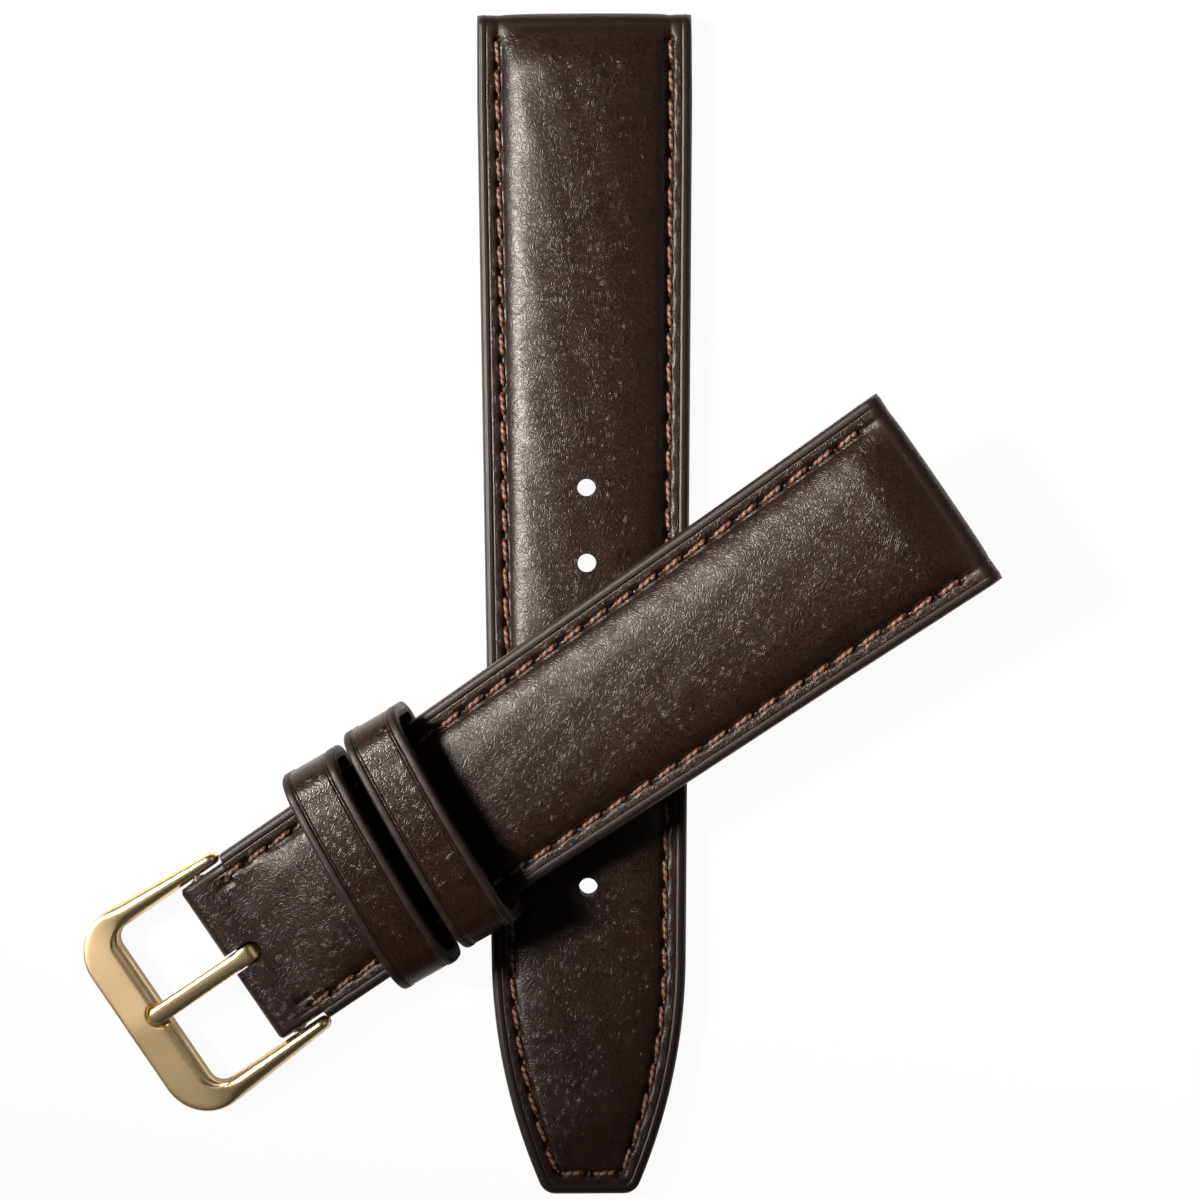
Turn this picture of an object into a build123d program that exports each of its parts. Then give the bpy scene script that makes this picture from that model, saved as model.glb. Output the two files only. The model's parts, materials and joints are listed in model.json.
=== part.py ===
"""A padded leather watch strap in two loose halves, with a sewn edge, two keepers and a pin buckle.

Each half is built level in a strap frame: X runs along the strap to its lug end, Y across it, Z = 0 is the
underside. The long half's X = 0 is the middle of its length, and it is turned to lie along Y. The short half
carries the buckle, so its X = 0 is the spring bar's axis, and it is laid across the long half by one location.
"""

from build123d import *
import os
from dataclasses import dataclass
from math import atan2, cos, degrees, radians, sin, sqrt

# Sizes are in millimetres and turns in degrees.

# The leather of both halves
lug_width = 20.0
edge_height = 2.6
edge_bevel = 0.45
lining_thickness = 0.9
upper_thickness = 1.0
tunnel_radius = 0.8
flap_length = 6.0
reinforcement_length = 16.0
reinforcement_thickness = 0.3
reinforcement_side_gap = 1.0
overrun = 5.0

# The pad between upper and lining
pad_stitch_gap = 0.1
pad_lug_gap = 2.6
pad_ramp = 5.0
pad_foot = 0.05
pad_shoulder_share = 0.2
shoulder_rise_share = 0.62
shoulder_bulge_shares = (0.25, 0.38)

# The seam, a lockstitch with a needle thread above and a bobbin thread below
stitch_inset = 1.95
stitch_pitch = 2.7
stitch_length = 2.2
thread_width = 0.5
thread_height = 0.3
seam_groove_width = 0.9
seam_groove_depth = 0.25
bobbin_recess = 0.05

# The long half, with the tip and the adjustment holes
long_length = 109.5
long_lug_straight = 8.0
tail_width = 18.05
tail_crown = 3.1
long_mid_crown = 4.0
long_lug_crown = 4.4
tip_curve_length = 21.7
tip_end_width = 8.5
tip_corner_radius = 1.6
tip_pad_gap = 3.6
tip_ramp = 5.5
hole_radius = 0.875
first_hole_from_tip = 28.5
hole_pitch = 7.5
last_hole_pitch = 7.0
hole_count = 6

# The short half, from the spring bar at X = 0
short_lug_reach = 76.7
fold_reach = 2.05
fold_width = 16.7
buckle_width = 18.2
buckle_straight_reach = 10.0
waist_from_lug = 18.7
waist_width = 19.26
short_pad_reach = 5.5
buckle_crown = 3.3
short_lug_crown = 4.3
short_seam_reach = 2.2
short_seam_lug_gap = 2.85

# The spring bar in the fold
bar_tube_radius = 0.75
bar_tube_bore = 0.45
bar_tube_length = 13.4
pin_stem_radius = 0.4
pin_stem_hold = 2.8
pin_flange_radius = 0.7
pin_flange_width = 0.4
pin_end_gap = 0.1
pin_tip_hold = 0.7
spring_bore = 0.25

# The buckle frame
frame_side_gap = 0.225
frame_front_reach = 13.65
frame_bar_width = 4.0
frame_front_width = 21.4
frame_tip_width = 19.55
frame_thickness = 2.0
frame_corner_radius = 4.5
frame_corner_run = 0.4
frame_inner_radius = 1.35
frame_tip_reach = 2.9
frame_edge_bevel = 0.4
frame_step_gap = 0.3
pin_hole_radius = 0.45
pin_hole_depth = 0.8

# The tongue
tongue_width = 1.7
tongue_end_gap = 2.6
tongue_eye_gap = 0.04
tongue_eye_wall = 0.51
tongue_root_thickness = 1.15
tongue_tip_thickness = 0.9
tongue_round = 0.4
notch_depth = 0.5
notch_side_gap = 0.12
notch_seat_gap = 0.05
slot_side_gap = 0.3
slot_reach = 1.9

# The keepers
keeper_width = 5.5
keeper_leather = 0.7
keeper_lining = 0.5
keeper_side_gap = 0.9
keeper_room = 0.2
keeper_under_gap = 0.15
keeper_arch_rise = 0.7
keeper_top_radius = 3.2
keeper_bottom_radius = 1.6
keeper_edge_bevel = 0.3
keeper_turn = 4.3
keeper_shift = 0.3
fixed_keeper_reach = 14.7
free_keeper_reach = 21.6

# How the short half lies across the long one
crossing_from_lug = 65.7
bar_distance = 37.75
short_turn = 34.1
short_tilt = 8.0
floor_gap = 0.03

bar_height = edge_height / 2
pad_inset = stitch_inset + seam_groove_width / 2 + pad_stitch_gap
frame_opening = fold_width + 2 * frame_side_gap
frame_foot = bar_height - frame_thickness / 2
bar_inner = frame_bar_width - frame_front_reach
tongue_reach = frame_front_reach - tongue_end_gap
tongue_tip_centre = tongue_width / 2 - tongue_reach
waist_reach = short_lug_reach - waist_from_lug
notch_half = tongue_width / 2 + notch_side_gap
short_height = (
    frame_front_reach * sin(radians(short_tilt)) - frame_foot * cos(radians(short_tilt)) + floor_gap
)


@dataclass
class Half:
    """One half of the strap: where its leather starts and ends, its sides and the stations of its pad.

    sides holds (x, half width) from the lug end down to where the side stops being straight. stations holds
    (x, half width of the strap, crown height) from one end of the pad to the other. seam is the stretch of X
    that is sewn.
    """

    start: float
    lug: float
    flap: float
    sides: list
    stations: list
    seam: tuple

    @property
    def nose(self):
        return self.lug - edge_height / 2


def along(sides, x):
    """Half width of the strap at x, between the points of its straight sides."""
    for (x1, w1), (x0, w0) in zip(sides, sides[1:]):
        if x >= x0:
            return w0 + (w1 - w0) * (x - x0) / (x1 - x0)
    return sides[-1][1]


# The long half's sides and tip

long_lug_reach = long_length / 2
tip = -long_length / 2
tip_shoulder = tip + tip_curve_length
long_sides = [
    (long_lug_reach, lug_width / 2),
    (long_lug_reach - long_lug_straight, lug_width / 2),
    (tip_shoulder, tail_width / 2),
]
side_run = long_sides[1][0] - tip_shoulder
side_fall = long_sides[1][1] - tail_width / 2
side_slope = side_fall / side_run
side_scale = sqrt(1 + side_slope**2)
tip_drop = tail_width / 2 - tip_end_width / 2
tip_curve_radius = (
    (tip_curve_length**2 + tip_drop**2) * side_scale / (2 * (tip_drop - side_slope * tip_curve_length))
)


def tip_half_width(x):
    """Half width of the long half where its side curves in: an arc that starts in line with the side."""
    centre_x = tip_shoulder + tip_curve_radius * side_slope / side_scale
    centre_y = tail_width / 2 - tip_curve_radius / side_scale
    return centre_y + sqrt(tip_curve_radius**2 - (x - centre_x) ** 2)


pad_tip = tip + tip_pad_gap
long_half = Half(
    start=tip,
    lug=long_lug_reach,
    flap=long_lug_reach - flap_length,
    sides=long_sides,
    stations=[
        (long_lug_reach - pad_lug_gap, lug_width / 2, edge_height + pad_foot),
        (long_lug_reach - pad_lug_gap - pad_ramp, lug_width / 2, long_lug_crown),
        (0, along(long_sides, 0), long_mid_crown),
        (tip_shoulder, tail_width / 2, tail_crown),
        (pad_tip + tip_ramp, tip_half_width(pad_tip + tip_ramp), tail_crown),
        (pad_tip, tip_half_width(pad_tip), edge_height + pad_foot),
    ],
    seam=(tip, long_lug_reach - stitch_inset - seam_groove_width / 2),
)
short_sides = [
    (short_lug_reach, lug_width / 2),
    (waist_reach, waist_width / 2),
    (buckle_straight_reach, buckle_width / 2),
]
short_half = Half(
    start=-fold_reach,
    lug=short_lug_reach,
    flap=short_lug_reach - flap_length,
    sides=short_sides,
    stations=[
        (short_lug_reach - pad_lug_gap, lug_width / 2, edge_height + pad_foot),
        (
            short_lug_reach - pad_lug_gap - pad_ramp,
            along(short_sides, short_lug_reach - pad_lug_gap - pad_ramp),
            short_lug_crown,
        ),
        (waist_reach, waist_width / 2, short_lug_crown),
        (short_pad_reach + pad_ramp, buckle_width / 2, buckle_crown),
        (short_pad_reach, buckle_width / 2, edge_height + pad_foot),
    ],
    seam=(short_seam_reach, short_lug_reach - short_seam_lug_gap),
)


# Outlines and seams


def long_outline():
    """The long half from above: straight lug end, tapered sides, sides curved in to a blunt tip."""
    with BuildSketch() as outline:
        with BuildLine():
            upper_side = Polyline(*long_sides)
            curve = TangentArc(upper_side @ 1, (tip, tip_end_width / 2), tangent=upper_side % 1)
            end = Line(curve @ 1, (tip, 0))
            Line((long_lug_reach, 0), upper_side @ 0)
            mirror(about=Plane.XZ)
        make_face()
        fillet(outline.vertices().group_by(Axis.X)[0], tip_corner_radius)
    return outline.sketch


def short_outline():
    """The short half from above, as wide at the fold as beside the keepers."""
    with BuildSketch() as outline:
        with BuildLine():
            Polyline(*short_sides, (-fold_reach, buckle_width / 2), (-fold_reach, 0))
            Line((short_lug_reach, 0), (short_lug_reach, lug_width / 2))
            mirror(about=Plane.XZ)
        make_face()
    return outline.sketch


def band(outline, inset, width, stretch):
    """A strip of the given width that follows the outline at an inset, cut to a stretch of X."""
    low, high = stretch
    with BuildSketch() as strip:
        add(outline)
        offset(amount=width / 2 - inset, kind=Kind.INTERSECTION)
        with BuildSketch(mode=Mode.SUBTRACT):
            add(outline)
            offset(amount=-width / 2 - inset, kind=Kind.INTERSECTION)
        with Locations(((low + high) / 2, 0)):
            Rectangle(high - low, lug_width, mode=Mode.INTERSECT)
    return strip.sketch


def stitch_spots(outline, stretch):
    """Where each stitch lies, and its turn: each side of the inset outline takes a whole number of stitches.

    The outline is cut to the stretch first, and the cuts across the strap carry no stitches.
    """
    low, high = stretch
    with BuildSketch() as line:
        add(outline)
        offset(amount=-stitch_inset, kind=Kind.INTERSECTION)
        with Locations(((low + high) / 2, 0)):
            Rectangle(high - low, lug_width, mode=Mode.INTERSECT)
    spots = []
    for edge in line.sketch.face().outer_wire().edges():
        if not low + thread_width < edge.center().X < high - thread_width:
            continue
        count = max(1, round(edge.length / stitch_pitch))
        for i in range(count):
            share = (i + 0.5) / count
            spot = edge.position_at(share)
            run = edge.tangent_at(share)
            spots.append(Location((spot.X, spot.Y), degrees(atan2(run.Y, run.X))))
    return spots


def seam_thread(spots, height):
    """The visible stitches of one thread, each a short flat bar."""
    with BuildPart() as thread:
        with BuildSketch(Plane.XY.offset(height)):
            with Locations(*spots):
                Rectangle(stitch_length, thread_width)
        extrude(amount=thread_height)
    return thread


# Leather pieces that both halves have


def pad_form(half, cover, foot):
    """The pad's crowned form, lofted through its stations, with the given cover of leather taken off it.

    Each station is an arched top between two steep shoulders, each of two straight runs.
    """
    last = len(half.stations) - 1
    with BuildPart() as form:
        for i, (x, strap_side, crown) in enumerate(half.stations):
            inward = {0: -cover, last: cover}.get(i, 0)
            side = strap_side - pad_inset - cover
            shoulder = side * pad_shoulder_share
            spring = edge_height - cover
            rise = crown - edge_height
            bulge_in, bulge_up = shoulder_bulge_shares
            with BuildSketch(Plane.YZ.offset(x + inward)):
                with BuildLine():
                    right = Polyline(
                        (side, foot),
                        (side, spring),
                        (side - shoulder * bulge_in, spring + rise * bulge_up),
                        (side - shoulder, spring + rise * shoulder_rise_share),
                    )
                    left = Polyline(
                        (shoulder - side, spring + rise * shoulder_rise_share),
                        (shoulder * bulge_in - side, spring + rise * bulge_up),
                        (-side, spring),
                        (-side, foot),
                    )
                    ThreePointArc(right @ 1, (0, spring + rise), left @ 0)
                    Line(left @ 1, right @ 0)
                make_face()
        loft(ruled=True)
    return form.part


def reinforcement_strip(half):
    """A thin strip between lining and upper that stiffens the lug end behind the tunnel."""
    end = half.nose - tunnel_radius - upper_thickness / 2
    with BuildPart() as strip:
        with BuildSketch(Plane.XY.offset(lining_thickness)):
            with Locations((end - reinforcement_length / 2, 0)):
                Rectangle(
                    reinforcement_length,
                    2 * along(half.sides, end - reinforcement_length) - 2 * reinforcement_side_gap,
                )
        extrude(amount=reinforcement_thickness)
    return strip


def upper_leather(half, outline, turned_under, groove, cuts):
    """The top leather: a sheet with a full-round nose at each turned end, crowned over the pad.

    turned_under lists (nose centre, flap end) for each end where the leather goes round a bar and comes back
    along the underside, the lug end first. cuts are the solids taken out of it at the end.
    """
    sheet_start = half.start if len(turned_under) == 1 else turned_under[1][0]
    with BuildPart() as upper:
        with BuildSketch(Plane.XZ):
            with Locations(((sheet_start + half.nose) / 2, (lining_thickness + edge_height) / 2)):
                Rectangle(half.nose - sheet_start, edge_height - lining_thickness)
            for nose, flap_end in turned_under:
                with Locations((nose, edge_height / 2)):
                    Circle(edge_height / 2)
                with Locations(((nose + flap_end) / 2, edge_height / 2)):
                    Rectangle(abs(nose - flap_end), edge_height)
        extrude(amount=lug_width, both=True)
        with BuildSketch():
            add(outline)
        extrude(amount=edge_height, mode=Mode.INTERSECT)
        rim = upper.edges().group_by(Axis.Z)[-1]
        noses = rim.filter_by(Axis.Y).filter_by(lambda edge: edge.center().X > half.start + edge_bevel)
        chamfer(rim.filter_by(lambda edge: edge not in noses), edge_bevel)
        add(pad_form(half, 0, lining_thickness + upper_thickness / 2))
        add(pad_form(half, upper_thickness, lining_thickness), mode=Mode.SUBTRACT)
        with BuildSketch(Plane.XY.offset(edge_height - seam_groove_depth)):
            add(groove)
        extrude(amount=seam_groove_depth, mode=Mode.SUBTRACT)
        with BuildSketch():
            add(groove)
        extrude(amount=bobbin_recess + thread_height, mode=Mode.SUBTRACT)
        add(cuts, mode=Mode.SUBTRACT)
    return upper


def bar_bore(x, radius):
    """A cutter for a bore along Y through the strap at the height of a spring bar."""
    with BuildPart() as bore:
        with BuildSketch(Plane.XZ):
            with Locations((x, bar_height)):
                Circle(radius)
        extrude(amount=lug_width, both=True)
    return bore.part


def keep(piece, name, place):
    """Names a finished piece, puts it in its place and writes it."""
    piece.part.label = name
    piece.part.move(place)
    export_step(piece.part, f"parts/{name}.step")


os.makedirs("parts", exist_ok=True)
long_place = Location((0, 0, 0), (0, 0, 90))
short_place = (
    Location(
        (
            -bar_distance * cos(radians(short_turn)),
            long_lug_reach - crossing_from_lug - bar_distance * sin(radians(short_turn)),
            short_height,
        )
    )
    * Location((0, 0, 0), (0, 0, short_turn))
    * Location((0, 0, 0), (0, -short_tilt, 0))
)

# The long half

long_shape = long_outline()
long_groove = band(long_shape, stitch_inset, seam_groove_width, long_half.seam)
long_spots = stitch_spots(long_shape, long_half.seam)
hole_places = [tip + first_hole_from_tip + i * hole_pitch for i in range(hole_count - 1)]
hole_places.append(hole_places[-1] + last_hole_pitch)


def adjustment_holes():
    """A cutter for the row of holes along the middle of the long half."""
    with BuildPart() as holes:
        with BuildSketch(Plane.XY.offset(-overrun)):
            with Locations(*[(x, 0) for x in hole_places]):
                Circle(hole_radius)
        extrude(amount=long_lug_crown + 2 * overrun)
    return holes.part


holes_cutter = adjustment_holes()
long_reinforcement = reinforcement_strip(long_half)
long_upper = upper_leather(
    long_half,
    long_shape,
    [(long_half.nose, long_half.flap)],
    long_groove,
    [long_reinforcement.part, holes_cutter, bar_bore(long_half.nose, tunnel_radius)],
)
with BuildPart() as long_padding:
    add(pad_form(long_half, upper_thickness, lining_thickness))
    add(long_reinforcement.part, mode=Mode.SUBTRACT)
    add(holes_cutter, mode=Mode.SUBTRACT)
with BuildPart() as long_lining:
    with BuildSketch():
        add(long_shape)
        with Locations(((long_half.start + long_half.flap) / 2, 0)):
            Rectangle(long_half.flap - long_half.start, 2 * lug_width, mode=Mode.INTERSECT)
    extrude(amount=lining_thickness)
    with BuildSketch():
        add(long_groove)
    extrude(amount=bobbin_recess + thread_height, mode=Mode.SUBTRACT)
    add(holes_cutter, mode=Mode.SUBTRACT)
long_needle_thread = seam_thread(long_spots, edge_height - seam_groove_depth)
long_bobbin_thread = seam_thread(long_spots, bobbin_recess)

# The short half's keepers, each a lined band of leather closed round the strap and a little askew


def keeper_plane(reach):
    turn = radians(keeper_turn)
    return Plane(
        origin=(reach, keeper_shift, 0),
        x_dir=(sin(turn), cos(turn), 0),
        z_dir=(cos(turn), -sin(turn), 0),
    )


def keeper_outline(foot, top, inset):
    """A keeper's section at an inset from its outer face: a box with round corners and an arched top."""
    side = keeper_half_width - inset
    shoulder = top - keeper_arch_rise - inset
    with BuildSketch() as outline:
        with BuildLine():
            Polyline((-side, shoulder), (-side, foot + inset), (side, foot + inset), (side, shoulder))
            ThreePointArc((side, shoulder), (0, top - inset), (-side, shoulder))
        make_face()
        fillet(outline.vertices().group_by(Axis.Y)[-1], keeper_top_radius - inset)
        fillet(outline.vertices().group_by(Axis.Y)[0], keeper_bottom_radius - inset)
    return outline.sketch


def keeper_ring(reach, foot, inset, wall):
    """One layer of a keeper: a closed band that starts inset inside the outer face and is wall thick."""
    top = keeper_inner_top + keeper_wall
    with BuildPart() as ring:
        with BuildSketch(keeper_plane(reach)):
            add(keeper_outline(foot, top, inset))
            add(keeper_outline(foot, top, inset + wall), mode=Mode.SUBTRACT)
        extrude(amount=keeper_width / 2, both=True)
        if not inset:
            ends = ring.faces().sort_by(Axis((reach, 0, 0), keeper_plane(reach).z_dir))
            chamfer(ends[0].outer_wire().edges() + ends[-1].outer_wire().edges(), keeper_edge_bevel)
    return ring


keeper_wall = keeper_leather + keeper_lining
keeper_half_width = buckle_width / 2 + keeper_side_gap + keeper_wall
keeper_inner_top = buckle_crown + tail_crown + keeper_room
free_foot = -keeper_under_gap - keeper_wall
fixed_keeper_outer = keeper_ring(fixed_keeper_reach, 0, 0, keeper_leather)
fixed_keeper_lining = keeper_ring(fixed_keeper_reach, 0, keeper_leather, keeper_lining)
free_keeper_outer = keeper_ring(free_keeper_reach, free_foot, 0, keeper_leather)
free_keeper_lining = keeper_ring(free_keeper_reach, free_foot, keeper_leather, keeper_lining)

# The short half's leather

short_shape = short_outline()
short_groove = band(short_shape, stitch_inset, seam_groove_width, short_half.seam)
short_spots = stitch_spots(short_shape, short_half.seam)
fold_nose = edge_height / 2 - fold_reach
fold_step = frame_tip_reach + frame_step_gap
slot_width = tongue_width + 2 * slot_side_gap

with BuildPart() as fold_relief:
    with BuildSketch():
        with Locations(((fold_step - fold_reach - overrun) / 2, 0)):
            Rectangle(fold_step + fold_reach + overrun, lug_width + overrun)
            Rectangle(fold_step + fold_reach + overrun, fold_width, mode=Mode.SUBTRACT)
    extrude(amount=edge_height)

with BuildPart() as tongue_slot:
    with BuildSketch():
        with Locations(((slot_reach - slot_width / 2 - overrun) / 2, 0)):
            Rectangle(slot_reach - slot_width / 2 + overrun, slot_width)
        with Locations((slot_reach - slot_width / 2, 0)):
            Circle(slot_width / 2)
    extrude(amount=edge_height)

short_reinforcement = reinforcement_strip(short_half)
short_upper = upper_leather(
    short_half,
    short_shape,
    [(short_half.nose, short_half.flap), (fold_nose, fixed_keeper_reach)],
    short_groove,
    [
        short_reinforcement.part,
        bar_bore(short_half.nose, tunnel_radius),
        bar_bore(0, tunnel_radius),
        fold_relief.part,
        tongue_slot.part,
        fixed_keeper_outer.part,
        fixed_keeper_lining.part,
    ],
)
with BuildPart() as short_padding:
    add(pad_form(short_half, upper_thickness, lining_thickness))
    add(short_reinforcement.part, mode=Mode.SUBTRACT)
    add([fixed_keeper_outer.part, fixed_keeper_lining.part], mode=Mode.SUBTRACT)
with BuildPart() as short_lining:
    with BuildSketch():
        add(short_shape)
        with Locations(((fixed_keeper_reach + short_half.flap) / 2, 0)):
            Rectangle(short_half.flap - fixed_keeper_reach, 2 * lug_width, mode=Mode.INTERSECT)
    extrude(amount=lining_thickness)
    with BuildSketch():
        add(short_groove)
    extrude(amount=bobbin_recess + thread_height, mode=Mode.SUBTRACT)
    add([fixed_keeper_outer.part, fixed_keeper_lining.part], mode=Mode.SUBTRACT)
leg_reach = keeper_width / 2 + sin(radians(keeper_turn)) * lug_width / 2 + stitch_length / 2
short_needle_thread = seam_thread(short_spots, edge_height - seam_groove_depth)
short_bobbin_thread = seam_thread(
    [s for s in short_spots if abs(s.position.X - fixed_keeper_reach) > leg_reach], bobbin_recess
)

# The spring bar: a tube, a spring inside it and a pin at each end


def turned(stretches, bore):
    """A piece turned on the bar's axis, from (radius, start, end) stretches along Y."""
    with BuildPart() as piece:
        for radius, low, high in stretches:
            with BuildSketch(Plane.XZ.offset(-high)):
                with Locations((0, bar_height)):
                    Circle(radius)
            extrude(amount=high - low)
        if bore:
            with BuildSketch(Plane.XZ.offset(-stretches[-1][2])):
                with Locations((0, bar_height)):
                    Circle(bore)
            extrude(amount=stretches[-1][2] - stretches[0][1], mode=Mode.SUBTRACT)
    return piece


arm_face = frame_opening / 2
stem_start = bar_tube_length / 2 - pin_stem_hold
flange_end = arm_face - pin_end_gap
flange_start = flange_end - pin_flange_width
pin_stretches = [
    (pin_stem_radius, stem_start, flange_start),
    (pin_flange_radius, flange_start, flange_end),
    (pin_stem_radius, flange_end, arm_face + pin_tip_hold),
]
spring_bar_tube = turned([(bar_tube_radius, -bar_tube_length / 2, bar_tube_length / 2)], bar_tube_bore)
spring_bar_spring = turned([(pin_stem_radius, -stem_start, stem_start)], spring_bore)
spring_bar_pin_left = turned(pin_stretches, 0)
spring_bar_pin_right = turned([(radius, -high, -low) for radius, low, high in reversed(pin_stretches)], 0)

# The buckle frame: a flat front bar and two arms that thin towards the spring bar

with BuildPart() as buckle_frame:
    with BuildSketch(Plane.XY.offset(frame_foot)) as frame_plan:
        with BuildLine():
            Polyline(
                (-frame_front_reach, 0),
                (-frame_front_reach, frame_front_width / 2),
                (frame_corner_radius + frame_corner_run - frame_front_reach, frame_front_width / 2),
                (frame_tip_reach, frame_tip_width / 2),
                (frame_tip_reach, frame_opening / 2),
                (bar_inner, frame_opening / 2),
                (bar_inner, 0),
            )
            mirror(about=Plane.XZ)
        make_face()
        inner = frame_plan.vertices().group_by(Axis.X)[1]
        fillet(inner.filter_by(lambda corner: abs(corner.Y) > notch_half), frame_inner_radius)
        outer = frame_plan.vertices().group_by(Axis.X)[0]
        fillet(outer.filter_by(lambda corner: abs(corner.Y) > notch_half), frame_corner_radius)
    extrude(amount=frame_thickness)
    with BuildSketch(Plane.XZ):
        tip_centre = frame_tip_reach - frame_thickness / 2
        with Locations(((tip_centre - frame_front_reach) / 2, bar_height)):
            Rectangle(tip_centre + frame_front_reach, frame_thickness)
        with Locations((tip_centre, bar_height)):
            Circle(frame_thickness / 2)
    extrude(amount=frame_front_width, both=True, mode=Mode.INTERSECT)
    rim = buckle_frame.edges().filter_by(Axis.Z, reverse=True)
    tip_seams = rim.filter_by(Axis.Y).filter_by_position(Axis.X, 0, frame_tip_reach)
    chamfer(rim.filter_by(lambda edge: edge not in tip_seams), frame_edge_bevel)
    for side in (1, -1):
        with BuildSketch(Plane.XZ.offset(side * arm_face)):
            with Locations((0, bar_height)):
                Circle(pin_hole_radius)
        extrude(amount=side * pin_hole_depth, mode=Mode.SUBTRACT)
    with BuildSketch(Plane.XY.offset(frame_foot + frame_thickness - notch_depth)):
        with Locations(((bar_inner + tongue_tip_centre) / 2, 0)):
            Rectangle(bar_inner - tongue_tip_centre, 2 * notch_half)
        with Locations((tongue_tip_centre, 0)):
            Circle(notch_half)
    extrude(amount=notch_depth, mode=Mode.SUBTRACT)

# The tongue: an eye round the bar's tube and a bar that rests in the frame's notch

eye_bore = bar_tube_radius + tongue_eye_gap
eye_radius = eye_bore + tongue_eye_wall
tongue_seat = frame_foot + frame_thickness - notch_depth + notch_seat_gap
with BuildPart() as buckle_tongue:
    with BuildSketch(Plane.XZ):
        with BuildLine():
            top = Line((0, bar_height + eye_radius), (-tongue_reach, tongue_seat + tongue_tip_thickness))
            Polyline(
                top @ 1,
                (-tongue_reach, tongue_seat),
                (bar_inner, tongue_seat),
                (0, bar_height + eye_radius - tongue_root_thickness),
                top @ 0,
            )
        make_face()
    extrude(amount=tongue_width / 2, both=True)
    with BuildSketch():
        with Locations((tongue_tip_centre / 2, 0)):
            Rectangle(-tongue_tip_centre, tongue_width)
        with Locations((tongue_tip_centre, 0)):
            Circle(tongue_width / 2)
    extrude(amount=overrun + edge_height, mode=Mode.INTERSECT)
    long_edges = buckle_tongue.edges().filter_by(Axis.Z, reverse=True).filter_by(Axis.Y, reverse=True)
    fillet(long_edges, tongue_round)
    with BuildSketch(Plane.XZ):
        with Locations((0, bar_height)):
            Circle(eye_radius)
    extrude(amount=tongue_width / 2, both=True)
    with BuildSketch(Plane.XZ):
        with Locations((0, bar_height)):
            Circle(eye_bore)
    extrude(amount=tongue_width / 2, both=True, mode=Mode.SUBTRACT)

# Names, places and files

long_pieces = {
    "long_upper": long_upper,
    "long_padding": long_padding,
    "long_lining": long_lining,
    "long_reinforcement": long_reinforcement,
    "long_needle_thread": long_needle_thread,
    "long_bobbin_thread": long_bobbin_thread,
}
short_pieces = {
    "short_upper": short_upper,
    "short_padding": short_padding,
    "short_lining": short_lining,
    "short_reinforcement": short_reinforcement,
    "short_needle_thread": short_needle_thread,
    "short_bobbin_thread": short_bobbin_thread,
    "fixed_keeper_outer": fixed_keeper_outer,
    "fixed_keeper_lining": fixed_keeper_lining,
    "free_keeper_outer": free_keeper_outer,
    "free_keeper_lining": free_keeper_lining,
    "spring_bar_tube": spring_bar_tube,
    "spring_bar_spring": spring_bar_spring,
    "spring_bar_pin_left": spring_bar_pin_left,
    "spring_bar_pin_right": spring_bar_pin_right,
    "buckle_frame": buckle_frame,
    "buckle_tongue": buckle_tongue,
}
for name, piece in long_pieces.items():
    keep(piece, name, long_place)
for name, piece in short_pieces.items():
    keep(piece, name, short_place)
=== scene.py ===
"""The looks of a padded leather watch strap: grained calf over a pad, painted edges, twisted thread and a gold buckle.

Sizes are in millimetres in each half's own strap frame, as in the part: X runs along the half to its lug end, Y
across it, Z = 0 is the underside. Two functions put those points into the shared frame, in metres.
"""

import json
import math
from collections import namedtuple
from functools import partial

import bmesh
import bpy
import numpy as np
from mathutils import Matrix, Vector


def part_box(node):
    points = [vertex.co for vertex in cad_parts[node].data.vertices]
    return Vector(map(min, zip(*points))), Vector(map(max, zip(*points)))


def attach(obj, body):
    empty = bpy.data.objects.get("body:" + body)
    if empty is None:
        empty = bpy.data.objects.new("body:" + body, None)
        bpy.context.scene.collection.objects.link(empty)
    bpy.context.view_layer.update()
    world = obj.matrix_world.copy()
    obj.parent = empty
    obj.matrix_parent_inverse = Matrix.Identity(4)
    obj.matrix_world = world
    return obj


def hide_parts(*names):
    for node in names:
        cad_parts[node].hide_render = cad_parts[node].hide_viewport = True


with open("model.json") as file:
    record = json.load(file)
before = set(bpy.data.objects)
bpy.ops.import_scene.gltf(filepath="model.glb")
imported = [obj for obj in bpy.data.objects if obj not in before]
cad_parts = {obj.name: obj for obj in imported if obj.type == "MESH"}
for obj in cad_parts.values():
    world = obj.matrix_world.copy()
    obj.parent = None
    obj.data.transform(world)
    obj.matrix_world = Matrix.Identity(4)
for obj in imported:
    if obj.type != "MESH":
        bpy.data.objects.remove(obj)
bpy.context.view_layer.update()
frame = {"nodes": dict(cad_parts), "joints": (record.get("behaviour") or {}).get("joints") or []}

MM = 0.001
weld_distance = 1e-7

# Where the two halves lie

long_low, long_high = (np.array(corner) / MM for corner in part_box("long_upper"))
long_length = long_high[1] - long_low[1]
lug_width = long_high[0] - long_low[0]
joints = {joint["name"]: joint for joint in frame["joints"]}
along_short = np.array(joints["free_keeper_slide"]["axis"])
across_short = np.array(joints["buckle_frame_hinge"]["axis"])
above_short = np.cross(along_short, across_short)
edge_height = 2.6
bar_height = edge_height / 2
short_origin = np.array(joints["buckle_frame_hinge"]["pos_m"]) / MM - bar_height * above_short
short_axes = np.stack([along_short, across_short, above_short])


def place_long(points):
    """The long half's own points in the shared frame: its X is the frame's Y, and its Y the frame's minus X."""
    return stack(-points[..., 1], points[..., 0], points[..., 2])


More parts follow.
